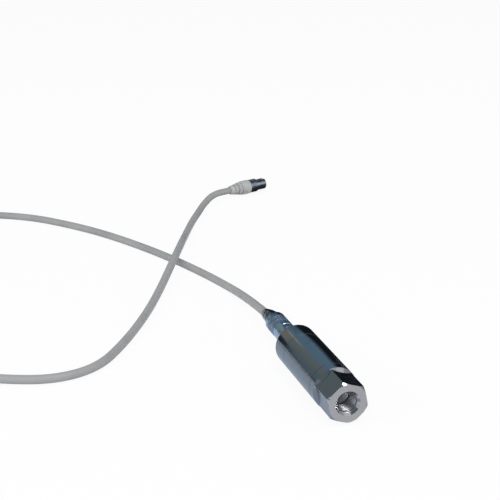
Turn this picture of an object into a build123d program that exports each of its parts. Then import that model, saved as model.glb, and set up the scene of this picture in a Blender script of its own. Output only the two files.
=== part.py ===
"""A cylindrical pressure sensor with a female port, its lead and the plug on the lead's end.

Millimetres, +Z up. The sensor lies on its side on the floor, z = 0, with its port facing +X.
The origin is on the floor, half way between the port's face and the tip of the strain boot.
"""

import os
from math import cos, pi, radians, sin, sqrt, tan

from build123d import *

# Body: outside sizes
body_diameter = 26.0
body_length = 85.0
hex_across_flats = 22.0
hex_length = 19.5
hex_lean = 12.0  # degrees that one corner leans from the vertical
face_diameter = 22.6
face_bevel_slope = 1.2  # length along the axis for each unit of radius
fitting_land = 6.0
rear_cap_length = 16.0
rear_edge_radius = 1.8
seam_bevel = 0.15

# Body: pressure port, a G 1/4 female thread drawn at its tapping size
port_diameter = 11.45
port_depth = 13.0
port_mouth_diameter = 14.6
drill_point_angle = 118.0
passage_diameter = 4.0

# Body: wall, joints and clearances
tube_wall = 1.4
fitting_spigot = 8.0
cap_spigot = 7.0
slip = 0.05
running_gap = 0.1

# Sensing capsule
pocket_radius = 9.55
pocket_floor = 22.0  # behind the port's face
header_radius = 9.5
header_length = 6.0
weld_ring_width = 1.3
weld_ring_height = 0.7
diaphragm_thickness = 0.15
wave_height = 0.18
wave_count = 4
wave_margin = 0.4
oil_cavity_radius = 8.1
oil_cavity_depth = 1.0
ceramic_thickness = 0.7
die_recess_radius = 2.6
die_recess_depth = 1.6
pedestal_radius = 2.1
pedestal_height = 1.0
die_side = 2.6
die_height = 0.6
pin_circle_radius = 5.0
pin_diameter = 0.5
pin_seat_diameter = 1.7
pin_reach_front = 0.5
pin_reach_rear = 5.2
pin_count = 5
fill_hole_diameter = 1.2
fill_ball_diameter = 1.6
fill_seat_depth = 1.4
retainer_length = 3.0
retainer_bore_radius = 6.6
spanner_slot_width = 2.0
spanner_slot_depth = 1.2

# O-rings: the free section, and the groove's depth and width
capsule_ring_section = 1.78
capsule_groove_depth = 1.45
capsule_groove_width = 2.4
cap_ring_section = 1.3
cap_groove_depth = 1.05
cap_groove_width = 1.9

# Electronics
pin_board_thickness = 1.2
pin_board_radius = 8.6
board_thickness = 1.6
board_front_gap = 3.0  # behind the fitting's spigot
wire_run = 3.6  # from the jacket's end to the board
carrier_ring_length = 3.0
carrier_wall = 1.6
rail_height = 4.4
rail_back = 3.0
rail_overlap = 0.9
chip_height = 1.5
chip_width = 3.9
chip_lead_pitch = 1.27
chip_lead_width = 0.42
chip_lead_height = 0.3
chip_foot = 1.0
chip_rows = ((0.22, 0.4), (0.6, 0.2), (0.88, 0.2))  # place and length, as shares of the free strip
part_gap = 1.0
capacitor_length = 3.5
capacitor_width = 2.8
capacitor_height = 1.9
capacitor_places = (0.45, 0.7)  # as shares of the board's length
resistor_length = 1.6
resistor_width = 0.8
resistor_height = 0.5
resistor_columns = 3
resistor_rows = 2
resistor_column_pitch = 2.4
resistor_row_pitch = 1.8
resistor_place = 0.7
link_width = 7.0
link_thickness = 0.2
link_bend = 1.0
link_rise = 3.8
link_landing = 2.5

# Rear cap and gland
cap_cavity_depth = 11.0
gland_thread_diameter = 12.0
gland_thread_length = 8.0
gasket_thickness = 1.0
gasket_diameter = 14.4
gland_diameter = 13.3
gland_collar = 17.0
gland_nut_length = 20.0
wrench_flats = 11.6
wrench_flat_length = 7.0
nut_thread_diameter = 10.6
nut_thread_length = 11.0
nut_grooves = 3
nut_groove_width = 1.1
nut_groove_depth = 0.55
nut_bevel = 0.6
flute_count = 30
flute_depth = 0.35
grommet_length = 7.0
grommet_diameter = 8.6
washer_thickness = 1.0
ferrule_length = 4.0
ferrule_wall = 1.2

# Strain boot, which droops with the lead
boot_length = 17.0
boot_droop = 12.0  # degrees at its tip
boot_root_diameter = 11.3
boot_tip_diameter = 7.4
boot_rib_step = 0.75
boot_ribs = 3
boot_groove_width = 1.2
boot_neck_diameter = 8.8
boot_flange_length = 2.0

# Lead
cord_diameter = 5.5
jacket_past_ferrule = 0.8
conductor_diameter = 1.0
conductor_count = 4
conductor_offset = 0.8
conductor_pitch = 3.0
conductor_landing = 3.0
conductor_bend = 0.5
exit_run = 29.0
arc_share = 0.45  # of a corner's shorter run that its arc takes
crossing_gap = 1.35

# Put-away coil of the lead, and its tie
coil_x = -265.0
coil_y = -197.0
coil_mid_radius = 31.0
coil_turns = 3
coil_stub = 26.0
coil_run_out = 20.0
coil_drop_left = 1.2  # above the floor where the lead has nearly come down from the coil
stub_start = 3.0
tie_width = 12.0
tie_thickness = 0.8

# Plug on the lead's far end
plug_turn_x = -355.5
plug_turn_y = 47.0
plug_run_in = 18.0
plug_boot_length = 20.0
plug_boot_diameter = 12.0
plug_tail_diameter = 7.2
plug_grip_length = 7.0
plug_rim_radius = 0.5
plug_boot_lip = 1.0
plug_first_rib = 0.8  # in rib pitches from the tail
plug_rib_margin = 0.6
plug_ribs = 3
plug_rib_depth = 0.7
plug_rib_width = 1.3
plug_heading = 110.0  # degrees from +X
plug_collar_length = 8.0
plug_collar_diameter = 11.4
plug_collar_rings = 3
plug_ring_pitch = 1.8
plug_ring_width = 0.8
plug_ring_depth = 0.4
plug_shell_diameter = 9.5
plug_shell_wall = 0.5
plug_shell_reach = 9.0
plug_shell_step = 0.2
plug_key_length = 5.0
plug_key_width = 2.2
plug_insert_length = 5.0
plug_insert_reach = 1.5
plug_pin_diameter = 1.0
plug_pin_circle = 5.4
plug_pin_count = 5
plug_pin_reach = 6.0
pin_tip_share = 0.4
plug_pin_turn = 180 / plug_pin_count  # degrees that the first pin stands from the top
plug_cord_depth = 9.0
plug_post_height = 1.4
plug_post_width = 1.8
solder_length = 3.0
conductor_lead_in = 0.8

# Stations along the sensor's axis
body_radius = body_diameter / 2
cord_radius = cord_diameter / 2
gland_length = gland_collar + gland_nut_length
boot_bend_radius = boot_length / radians(boot_droop)
boot_reach = (boot_bend_radius + boot_tip_diameter / 2) * sin(radians(boot_droop))
front_x = (body_length + gland_length + boot_reach) / 2
hex_rear_x = front_x - hex_length
shoulder_x = hex_rear_x - fitting_land
spigot_x = shoulder_x - fitting_spigot
rear_x = front_x - body_length
cap_shoulder_x = rear_x + rear_cap_length
cap_front_x = cap_shoulder_x + cap_spigot
pocket_x = front_x - pocket_floor
diaphragm_x = pocket_x - weld_ring_height
header_x = diaphragm_x - diaphragm_thickness
header_rear_x = header_x - header_length
retainer_rear_x = header_rear_x - retainer_length
tube_bore_radius = body_radius - tube_wall
pin_board_x = header_rear_x - pin_reach_rear + pin_board_thickness + running_gap
board_front_x = spigot_x - board_front_gap
collar_x = rear_x - gasket_thickness
nut_front_x = rear_x - gland_collar
nut_rear_x = rear_x - gland_length
gland_front_x = rear_x + gland_thread_length
ferrule_x = gland_front_x + running_gap
jacket_end_x = ferrule_x + ferrule_length + jacket_past_ferrule
cavity_floor_x = cap_front_x - cap_cavity_depth
board_rear_x = jacket_end_x + wire_run
board_length = board_front_x - board_rear_x
board_top = board_thickness / 2
rail_outer = tube_bore_radius - slip
board_width = 2 * (rail_outer - rail_back)

SENSOR = Plane(origin=(0, 0, body_radius), x_dir=(1, 0, 0), z_dir=(0, -1, 0))
BOARD = Plane(origin=(0, 0, body_radius + board_top))


def across(x, lean=0.0):
    """The plane square to the sensor's axis at station x, its X axis up and leaning to -Y."""
    lean = radians(lean)
    return Plane(origin=(x, 0, body_radius), x_dir=(0, -sin(lean), cos(lean)), z_dir=(1, 0, 0))


def turned(outline, plane=SENSOR, mode=Mode.ADD):
    """Turn a closed outline of (station, radius) points about the plane's X axis."""
    with BuildSketch(plane) as section:
        with BuildLine():
            Polyline(*outline, close=True)
        make_face()
    revolve(section.sketch, axis=Axis(plane.origin, plane.x_dir), mode=mode)


def sleeve(start, end, outer, inner, plane=SENSOR, mode=Mode.ADD):
    """A plain ring between two stations."""
    turned([(start, inner), (end, inner), (end, outer), (start, outer)], plane, mode)


def squeezed_ring(station, groove_radius, wall_radius, free_section):
    """An O-ring squeezed flat between its groove and the wall, its section's area kept."""
    height = wall_radius - groove_radius
    flat = pi / 4 * (free_section**2 - height**2) / height
    with BuildSketch(SENSOR) as section:
        with Locations((station, (wall_radius + groove_radius) / 2)):
            SlotCenterToCenter(flat, height)
    revolve(section.sketch, axis=Axis(SENSOR.origin, SENSOR.x_dir))


def save(name, builder):
    """Label a finished piece and write it to its own file."""
    builder.part.label = name
    export_step(builder.part, f"parts/{name}.step")


os.makedirs("parts", exist_ok=True)

# Port fitting: bar with a milled hexagon that runs out in a cone, the port in front and the
# capsule's pocket behind
face_bevel = (body_diameter - face_diameter) / 2 * face_bevel_slope
runout_length = (body_diameter - port_mouth_diameter) / 2 * face_bevel_slope
mouth_bevel = (port_mouth_diameter - port_diameter) / 2
drill_cone = (port_diameter - passage_diameter) / 2 / tan(radians(drill_point_angle / 2))
with BuildPart() as port_fitting:
    turned([
        (front_x, 0),
        (front_x, face_diameter / 2),
        (front_x - face_bevel, body_radius),
        (shoulder_x + seam_bevel, body_radius),
        (shoulder_x, body_radius - seam_bevel),
        (shoulder_x, tube_bore_radius - slip),
        (spigot_x, tube_bore_radius - slip),
        (spigot_x, 0),
    ])
    with BuildSketch(across(front_x, hex_lean)):
        Circle(body_diameter)
        RegularPolygon(hex_across_flats / 2, 6, major_radius=False, rotation=0, mode=Mode.SUBTRACT)
    extrude(amount=-hex_length, mode=Mode.SUBTRACT)
    turned([
        (hex_rear_x, 0),
        (hex_rear_x, body_radius),
        (hex_rear_x + runout_length, port_mouth_diameter / 2),
        (hex_rear_x + runout_length, 0),
    ])
    turned([
        (front_x, 0),
        (front_x, port_mouth_diameter / 2),
        (front_x - mouth_bevel, port_diameter / 2),
        (front_x - port_depth, port_diameter / 2),
        (front_x - port_depth - drill_cone, passage_diameter / 2),
        (pocket_x, passage_diameter / 2),
        (pocket_x, pocket_radius),
        (spigot_x, pocket_radius),
        (spigot_x, 0),
    ], mode=Mode.SUBTRACT)

# Housing tube
with BuildPart() as housing_tube:
    turned([
        (shoulder_x, tube_bore_radius),
        (shoulder_x, body_radius - seam_bevel),
        (shoulder_x - seam_bevel, body_radius),
        (cap_shoulder_x + seam_bevel, body_radius),
        (cap_shoulder_x, body_radius - seam_bevel),
        (cap_shoulder_x, tube_bore_radius),
    ])

# Rear cap, with a cavity for the wires in front and the gland's thread behind
cap_spigot_radius = tube_bore_radius - slip
cap_cavity_radius = cap_spigot_radius - cap_groove_depth - carrier_wall / 2
cap_groove_x = cap_shoulder_x + cap_spigot / 2
wire_hole_radius = cord_radius + ferrule_wall + 2 * running_gap
with BuildPart() as rear_cap:
    with BuildSketch(SENSOR) as cap_outline:
        with BuildLine():
            Polyline(
                (cap_front_x, 0),
                (cap_front_x, cap_spigot_radius),
                (cap_shoulder_x, cap_spigot_radius),
                (cap_shoulder_x, body_radius - seam_bevel),
                (cap_shoulder_x - seam_bevel, body_radius),
                (rear_x, body_radius),
                (rear_x, 0),
                close=True,
            )
        make_face()
        rear_corner = cap_outline.vertices().group_by(Axis.X)[0].sort_by(Axis.Y)[-1]
        fillet(rear_corner, rear_edge_radius)
    revolve(axis=Axis(SENSOR.origin, SENSOR.x_dir))
    turned([
        (rear_x, 0),
        (rear_x, gland_thread_diameter / 2 + slip),
        (ferrule_x, gland_thread_diameter / 2 + slip),
        (ferrule_x, wire_hole_radius),
        (cavity_floor_x, wire_hole_radius),
        (cavity_floor_x, cap_cavity_radius),
        (cap_front_x, cap_cavity_radius),
        (cap_front_x, 0),
    ], mode=Mode.SUBTRACT)
    sleeve(
        cap_groove_x - cap_groove_width / 2,
        cap_groove_x + cap_groove_width / 2,
        body_radius - tube_wall,
        cap_spigot_radius - cap_groove_depth,
        mode=Mode.SUBTRACT,
    )

with BuildPart() as rear_cap_o_ring:
    squeezed_ring(
        cap_groove_x, cap_spigot_radius - cap_groove_depth, tube_bore_radius, cap_ring_section
    )

# Capsule header, with its oil cavity, die recess, pin seats, fill hole and O-ring groove
capsule_groove_x = header_x - header_length / 2
web_front_x = header_x - oil_cavity_depth
pin_step = 360 / (pin_count + 1)
pin_angles = [pin_step * (index + 1) for index in range(pin_count)]
fill_seat_x = header_rear_x + fill_seat_depth
with BuildPart() as capsule_header:
    turned([
        (header_x, oil_cavity_radius),
        (header_x, header_radius),
        (header_rear_x, header_radius),
        (header_rear_x, 0),
        (web_front_x - die_recess_depth, 0),
        (web_front_x - die_recess_depth, die_recess_radius),
        (web_front_x, die_recess_radius),
        (web_front_x, oil_cavity_radius),
    ])
    sleeve(
        capsule_groove_x - capsule_groove_width / 2,
        capsule_groove_x + capsule_groove_width / 2,
        body_radius,
        header_radius - capsule_groove_depth,
        mode=Mode.SUBTRACT,
    )
    with BuildSketch(across(header_rear_x)):
        for angle in pin_angles:
            with PolarLocations(pin_circle_radius, 1, start_angle=angle):
                Circle(pin_seat_diameter / 2)
        with PolarLocations(pin_circle_radius, 1):
            Circle(fill_hole_diameter / 2)
    extrude(amount=header_length, mode=Mode.SUBTRACT)
    with BuildSketch(across(header_rear_x)):
        with PolarLocations(pin_circle_radius, 1):
            Circle(fill_ball_diameter / 2)
    extrude(amount=fill_seat_depth, mode=Mode.SUBTRACT)

with BuildPart() as capsule_o_ring:
    squeezed_ring(
        capsule_groove_x, header_radius - capsule_groove_depth, pocket_radius, capsule_ring_section
    )

# Isolation diaphragm: thin sheet with round waves, clamped under the weld ring
wave_outer = header_radius - weld_ring_width - wave_margin
wave_pitch = (wave_outer - die_recess_radius) / wave_count
with BuildPart() as isolation_diaphragm:
    with BuildSketch(SENSOR):
        with BuildLine():
            for face_x in (diaphragm_x, header_x):
                Line((face_x, 0), (face_x, die_recess_radius))
                for wave in range(wave_count):
                    low = die_recess_radius + wave * wave_pitch
                    bulge = wave_height if wave % 2 else -wave_height / 2
                    ThreePointArc(
                        (face_x, low),
                        (face_x + bulge, low + wave_pitch / 2),
                        (face_x, low + wave_pitch),
                    )
                Line((face_x, wave_outer), (face_x, header_radius))
            Line((diaphragm_x, 0), (header_x, 0))
            Line((diaphragm_x, header_radius), (header_x, header_radius))
        make_face()
    revolve(axis=Axis(SENSOR.origin, SENSOR.x_dir))

with BuildPart() as diaphragm_weld_ring:
    sleeve(diaphragm_x, pocket_x, header_radius, header_radius - weld_ring_width)

# Ceramic spacer that keeps the oil volume small, pierced for the pins and the fill hole
with BuildPart() as ceramic_spacer:
    sleeve(
        web_front_x,
        web_front_x + ceramic_thickness,
        oil_cavity_radius - running_gap,
        die_recess_radius,
    )
    with BuildSketch(across(web_front_x)):
        with PolarLocations(pin_circle_radius, pin_count + 1):
            Circle(pin_diameter)
    extrude(amount=ceramic_thickness, mode=Mode.SUBTRACT)

recess_floor_x = web_front_x - die_recess_depth
with BuildPart() as glass_pedestal:
    with BuildSketch(across(recess_floor_x)):
        Circle(pedestal_radius)
    extrude(amount=pedestal_height)

with BuildPart() as sensing_die:
    with BuildSketch(across(recess_floor_x + pedestal_height)):
        Rectangle(die_side, die_side)
    extrude(amount=die_height)

# Glass-sealed pins of the header
with BuildPart() as header_pins:
    with BuildSketch(across(header_rear_x - pin_reach_rear)):
        for angle in pin_angles:
            with PolarLocations(pin_circle_radius, 1, start_angle=angle):
                Circle(pin_diameter / 2)
    extrude(amount=pin_reach_rear + header_length - oil_cavity_depth + pin_reach_front)

with BuildPart() as pin_glass_seals:
    with BuildSketch(across(header_rear_x)):
        for angle in pin_angles:
            with PolarLocations(pin_circle_radius, 1, start_angle=angle):
                Circle(pin_seat_diameter / 2)
                Circle(pin_diameter / 2, mode=Mode.SUBTRACT)
    extrude(amount=header_length - oil_cavity_depth)

ball_drop = sqrt(fill_ball_diameter**2 - fill_hole_diameter**2) / 2
with BuildPart() as fill_ball:
    with Locations((fill_seat_x - ball_drop, 0, body_radius + pin_circle_radius)):
        Sphere(fill_ball_diameter / 2)

# Threaded retainer behind the capsule, with two spanner slots
with BuildPart() as capsule_retainer:
    sleeve(retainer_rear_x, header_rear_x, pocket_radius - slip, retainer_bore_radius)
    with BuildSketch(across(retainer_rear_x)):
        Rectangle(spanner_slot_width, body_diameter)
    extrude(amount=spanner_slot_depth, mode=Mode.SUBTRACT)

# Round board on the pins, and the flexible link from it to the main board
with BuildPart() as pin_board:
    with BuildSketch(across(pin_board_x - pin_board_thickness)):
        Circle(pin_board_radius)
        with PolarLocations(pin_circle_radius, pin_count + 1):
            Circle(pin_diameter / 2 + slip, mode=Mode.SUBTRACT)
    extrude(amount=pin_board_thickness)

pin_board_rear = pin_board_x - pin_board_thickness
link_path_x = pin_board_rear - link_thickness / 2
with BuildPart() as flexible_link:
    with BuildSketch(SENSOR) as link_section:
        with BuildLine():
            FilletPolyline(
                (link_path_x, board_top + link_rise),
                (link_path_x, board_top + link_thickness / 2),
                (board_front_x - link_landing, board_top + link_thickness / 2),
                radius=link_bend,
            )
        trace(line_width=link_thickness)
    extrude(amount=link_width / 2, both=True)

# Main board, its parts, and the moulded carrier that holds it by its long edges
with BuildPart() as circuit_board:
    with BuildSketch(BOARD.offset(-board_thickness)):
        with Locations(((board_front_x + board_rear_x) / 2, 0)):
            Rectangle(board_length, board_width)
    extrude(amount=board_thickness)

free_strip = board_length - link_landing - conductor_landing - 2 * part_gap
with BuildPart() as board_chips:
    for place, share in chip_rows:
        chip_x = board_front_x - link_landing - part_gap - place * free_strip
        length = share * free_strip
        with BuildSketch(BOARD):
            with Locations((chip_x, 0)):
                Rectangle(length, chip_width)
        extrude(amount=chip_height)
        leads = int((length - chip_lead_pitch / 2) / chip_lead_pitch)
        with BuildSketch(BOARD):
            with Locations((chip_x, 0)):
                with GridLocations(chip_lead_pitch, chip_width + chip_foot, leads, 2):
                    Rectangle(chip_lead_width, chip_foot)
        extrude(amount=chip_lead_height)

rail_inner = board_width / 2 - rail_overlap
part_row = (chip_width / 2 + chip_foot + rail_inner) / 2
with BuildPart() as board_capacitors:
    with BuildSketch(BOARD):
        for place, side in zip(capacitor_places, (1, -1)):
            with Locations((board_front_x - place * board_length, side * part_row)):
                Rectangle(capacitor_length, capacitor_width)
    extrude(amount=capacitor_height)

with BuildPart() as board_resistors:
    with BuildSketch(BOARD):
        with Locations((board_front_x - resistor_place * board_length, part_row)):
            with GridLocations(
                resistor_column_pitch, resistor_row_pitch, resistor_columns, resistor_rows
            ):
                Rectangle(resistor_length, resistor_width)
    extrude(amount=resistor_height)

carrier_rear_x = cap_front_x + running_gap
with BuildPart() as board_carrier:
    with BuildSketch(across(carrier_rear_x)):
        Circle(rail_outer)
        with GridLocations(1, 2 * rail_outer, 1, 2):
            Rectangle(rail_height, 2 * (rail_outer - rail_inner), mode=Mode.INTERSECT)
    extrude(amount=board_front_x + carrier_ring_length / 2 - carrier_rear_x)
    for ring_x in (carrier_rear_x, board_front_x - carrier_ring_length / 2):
        sleeve(ring_x, ring_x + carrier_ring_length, rail_outer, rail_outer - carrier_wall)
    with BuildSketch(across(carrier_rear_x)):
        Rectangle(board_thickness + 2 * slip, board_width + 2 * slip)
    extrude(amount=board_front_x + slip - carrier_rear_x, mode=Mode.SUBTRACT)

# Lead inside the sensor: its jacket end, crimped ferrule and four conductors
droop = radians(boot_droop)
tip_x = nut_rear_x - boot_bend_radius * sin(droop)
tip_z = body_radius - boot_bend_radius * (1 - cos(droop))
with BuildPart() as lead_inlet:
    with BuildLine() as inlet_path:
        Line((jacket_end_x, 0, body_radius), (nut_rear_x, 0, body_radius))
        TangentArc(
            (nut_rear_x, 0, body_radius), (tip_x, 0, tip_z), tangent=(-1, 0, 0)
        )
    with BuildSketch(across(jacket_end_x)):
        Circle(cord_radius)
    sweep()

with BuildPart() as lead_ferrule:
    sleeve(ferrule_x, ferrule_x + ferrule_length, cord_radius + ferrule_wall, cord_radius + slip)

conductor_z = body_radius + board_top + conductor_diameter / 2
with BuildPart() as lead_conductors:
    for index in range(conductor_count):
        side = index - (conductor_count - 1) / 2
        start_y = conductor_offset * (1 if side > 0 else -1)
        start_z = body_radius + conductor_offset * (1 if abs(side) < 1 else -1)
        with BuildLine() as wire_path:
            FilletPolyline(
                (jacket_end_x, start_y, start_z),
                (jacket_end_x + wire_run / 3, start_y, start_z),
                (board_rear_x - slip, side * conductor_pitch, conductor_z),
                (board_rear_x + conductor_landing, side * conductor_pitch, conductor_z),
                radius=conductor_bend,
            )
        with BuildSketch(wire_path.line ^ 0):
            Circle(conductor_diameter / 2)
        sweep(path=wire_path.line)

# Gland: gasket, threaded body with wrench flats, grommet, washer and fluted nut
with BuildPart() as gland_gasket:
    sleeve(collar_x, rear_x, gasket_diameter / 2, gland_thread_diameter / 2 + slip)

gland_bore_radius = cord_radius + running_gap
grommet_rear_x = nut_front_x - nut_thread_length
grommet_front_x = grommet_rear_x + grommet_length
with BuildPart() as gland_body:
    turned([
        (gland_front_x, gland_bore_radius),
        (gland_front_x, gland_thread_diameter / 2 - nut_bevel),
        (gland_front_x - nut_bevel, gland_thread_diameter / 2),
        (collar_x, gland_thread_diameter / 2),
        (collar_x, gland_diameter / 2),
        (nut_front_x + nut_bevel / 2, gland_diameter / 2),
        (nut_front_x, gland_diameter / 2 - nut_bevel / 2),
        (nut_front_x, nut_thread_diameter / 2),
        (grommet_rear_x, nut_thread_diameter / 2),
        (grommet_rear_x, grommet_diameter / 2 + slip),
        (grommet_front_x, grommet_diameter / 2 + slip),
        (grommet_front_x, gland_bore_radius),
    ])
    flat_x = (collar_x + nut_front_x) / 2
    with BuildSketch(across(flat_x - wrench_flat_length / 2)):
        Rectangle(gland_diameter * 2, gland_diameter * 2)
        Rectangle(wrench_flats, gland_diameter * 2, mode=Mode.SUBTRACT)
    extrude(amount=wrench_flat_length, mode=Mode.SUBTRACT)

with BuildPart() as gland_grommet:
    sleeve(grommet_rear_x, grommet_front_x - slip, grommet_diameter / 2, cord_radius + slip)

washer_rear_x = grommet_rear_x - slip - washer_thickness
with BuildPart() as gland_washer:
    sleeve(washer_rear_x, grommet_rear_x - slip, nut_thread_diameter / 2, gland_bore_radius)

flange_rear_x = washer_rear_x - slip - boot_flange_length
lip_x = flange_rear_x - slip
with BuildPart() as gland_nut:
    turned([
        (nut_front_x, nut_thread_diameter / 2 + slip),
        (nut_front_x, gland_diameter / 2 - nut_bevel / 2),
        (nut_front_x - nut_bevel / 2, gland_diameter / 2),
        (nut_rear_x + nut_bevel, gland_diameter / 2),
        (nut_rear_x, gland_diameter / 2 - nut_bevel),
        (nut_rear_x, boot_neck_diameter / 2 + running_gap),
        (lip_x, boot_neck_diameter / 2 + running_gap),
        (lip_x, nut_thread_diameter / 2 + slip),
    ])
    groove_pitch = gland_nut_length / (nut_grooves + 1)
    for groove in range(nut_grooves):
        groove_x = nut_rear_x + (groove + 1) * groove_pitch
        sleeve(
            groove_x - nut_groove_width / 2,
            groove_x + nut_groove_width / 2,
            gland_diameter,
            gland_diameter / 2 - nut_groove_depth,
            mode=Mode.SUBTRACT,
        )
    flute_side = 2 * flute_depth
    with BuildSketch(across(nut_rear_x + groove_pitch)):
        with PolarLocations(gland_diameter / 2, flute_count):
            Rectangle(flute_side, flute_side, rotation=45)
    extrude(amount=(nut_grooves - 1) * groove_pitch, mode=Mode.SUBTRACT)


def boot_plane(distance):
    """The plane square to the drooping boot, at a distance along it from the nut."""
    turn = distance / boot_bend_radius
    origin = (
        nut_rear_x - boot_bend_radius * sin(turn),
        0,
        body_radius - boot_bend_radius * (1 - cos(turn)),
    )
    return Plane(origin=origin, x_dir=(-sin(turn), 0, cos(turn)), z_dir=(-cos(turn), 0, -sin(turn)))


# Strain boot: a tapered core with ribs along its droop, and a neck and flange held by the nut
boot_taper = (boot_root_diameter - boot_tip_diameter) / 2 / boot_length
rib_pitch = boot_length / boot_ribs
with BuildPart() as strain_boot:
    for rib in range(boot_ribs):
        start = rib * rib_pitch
        end = start + rib_pitch - (boot_groove_width if rib < boot_ribs - 1 else 0)
        for distance in (start, end):
            with BuildSketch(boot_plane(distance)):
                Circle(boot_root_diameter / 2 - distance * boot_taper)
        loft()
        if rib < boot_ribs - 1:
            for distance in (end, start + rib_pitch):
                with BuildSketch(boot_plane(distance)):
                    Circle(boot_root_diameter / 2 - distance * boot_taper - boot_rib_step)
            loft()
    sleeve(nut_rear_x, flange_rear_x, boot_neck_diameter / 2, 0)
    sleeve(flange_rear_x, flange_rear_x + boot_flange_length, nut_thread_diameter / 2 - slip, 0)
    with BuildLine() as boot_bore:
        Line((washer_rear_x, 0, body_radius), (nut_rear_x, 0, body_radius))
        TangentArc(
            (nut_rear_x, 0, body_radius), (tip_x, 0, tip_z), tangent=(-1, 0, 0)
        )
    with BuildSketch(across(washer_rear_x)):
        Circle(cord_radius + slip)
    sweep(path=boot_bore.line, mode=Mode.SUBTRACT)


def corner_radii(points):
    """The largest arc for each corner, which takes a set share of its shorter run."""
    spots = [Vector(*point) for point in points]
    radii = []
    for before, corner, after in zip(spots, spots[1:], spots[2:]):
        half_turn = radians((corner - before).get_angle(after - corner)) / 2
        shorter = min((corner - before).length, (after - corner).length)
        radii.append(arc_share * shorter / tan(half_turn))
    return radii


def cord_tube(points):
    """Sweep the lead's round section along straight runs joined by tangent arcs."""
    with BuildLine() as route:
        FilletPolyline(*points, radius=corner_radii(points))
    with BuildSketch(route.line ^ 0) as section:
        Circle(cord_radius)
    sweep(section.sketch, path=route.line)
    return route.wire().length


# Lead from the boot's tip, down to the floor and away to the put-away coil
cord_bed = cord_radius
coil_low = tie_thickness + slip + cord_radius
coil_high = coil_low + cord_diameter * sin(pi / 3)
coil_entry_y = coil_y - coil_mid_radius - cord_radius
coil_exit_y = coil_y - coil_mid_radius
sensor_lead_points = [
    (tip_x, 0, tip_z),
    (tip_x - exit_run * cos(droop), 0, tip_z - exit_run * sin(droop)),
    (-134, -3, cord_bed),
    (-176, -12, cord_bed),
    (-217, -28, cord_bed),
    (-254, -45.5, cord_bed),
    (-290, -66, cord_bed),
    (-322, -90, cord_bed),
    (-346, -113, cord_bed),
    (-364, -140, cord_bed),
    (-375, -170, cord_bed),
    (-370, -201, cord_bed),
    (-348, -223, cord_bed),
    (-318, coil_entry_y, coil_low),
    (coil_x - coil_stub, coil_entry_y, coil_low),
]
with BuildPart() as sensor_lead:
    sensor_lead_length = cord_tube(sensor_lead_points)

# The coil: two turns side by side and one on top, one closed shape with a stub at each end
COIL = Plane(origin=(coil_x, coil_y, 0), x_dir=(1, 0, 0), z_dir=(0, -1, 0))
COIL_AXIS = Axis((coil_x, coil_y, 0), (0, 0, 1))


def turns_outline(grow=0.0):
    """The outline round the section of the coil's turns, grown outwards."""
    with BuildSketch(COIL) as section:
        with Locations(
            (coil_mid_radius - cord_radius, coil_low),
            (coil_mid_radius + cord_radius, coil_low),
            (coil_mid_radius, coil_high),
        ):
            Circle(cord_radius + grow)
        make_hull()
    return section.sketch


with BuildPart() as lead_coil:
    revolve(turns_outline(), axis=COIL_AXIS)
    for side, stub_y, stub_z in ((-1, coil_entry_y, coil_low), (1, coil_exit_y, coil_high)):
        stub_x = coil_x + side * stub_start
        with BuildSketch(Plane(origin=(stub_x, stub_y, stub_z), z_dir=(side, 0, 0))):
            Circle(cord_radius)
        extrude(amount=coil_stub - stub_start)

tie_sweep = 360 * tie_width / (2 * pi * coil_mid_radius)
with BuildPart() as coil_tie:
    revolve(turns_outline(slip + tie_thickness), axis=COIL_AXIS, revolution_arc=tie_sweep)
    revolve(turns_outline(slip), axis=COIL_AXIS, revolution_arc=tie_sweep, mode=Mode.SUBTRACT)

# Lead from the coil back past the sensor, over its own first run, to the plug
plug_axis_z = plug_boot_diameter / 2
heading = radians(plug_heading)
plug_tail = (
    plug_turn_x + plug_run_in * cos(heading),
    plug_turn_y + plug_run_in * sin(heading),
    plug_axis_z,
)
hump = cord_bed + cord_diameter + crossing_gap
plug_lead_points = [
    (coil_x + coil_stub, coil_exit_y, coil_high),
    (coil_x + coil_stub + coil_run_out, coil_exit_y, coil_high),
    (-186, -229, cord_bed + coil_drop_left),
    (-152, -230.5, cord_bed),
    (-115, -229.5, cord_bed),
    (-82, -219, cord_bed),
    (-57, -199, cord_bed),
    (-40, -172, cord_bed),
    (-31, -143, cord_bed),
    (-40, -116, cord_bed),
    (-70, -94, cord_bed),
    (-110, -71, cord_bed),
    (-150, -51, cord_bed),
    (-188, -32.5, hump),
    (-226, -16.5, hump),
    (-266, 0.5, cord_bed),
    (-300, 14, cord_bed),
    (-320, 22.5, cord_bed),
    (-338, 33, cord_bed),
    (plug_turn_x, plug_turn_y, plug_axis_z),
    plug_tail,
]
with BuildPart() as plug_lead:
    plug_lead_length = cord_tube(plug_lead_points)

# Plug: stations run along its own axis from the boot's tail
PLUG = Plane(
    origin=plug_tail,
    x_dir=(cos(heading), sin(heading), 0),
    z_dir=(sin(heading), -cos(heading), 0),
)
collar_start = plug_boot_length
shell_start = collar_start + plug_collar_length
shell_end = shell_start + plug_shell_reach
insert_end = shell_start + plug_insert_reach
insert_start = insert_end - plug_insert_length
shell_root = plug_shell_diameter / 2 - plug_shell_step
shell_bore = plug_shell_diameter / 2 - plug_shell_wall


def along_plug(station):
    """The plane square to the plug's axis at a station, facing its open end, its X axis up."""
    return Plane(
        origin=PLUG.origin + PLUG.x_dir * station, x_dir=(0, 0, 1), z_dir=tuple(PLUG.x_dir)
    )


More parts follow.
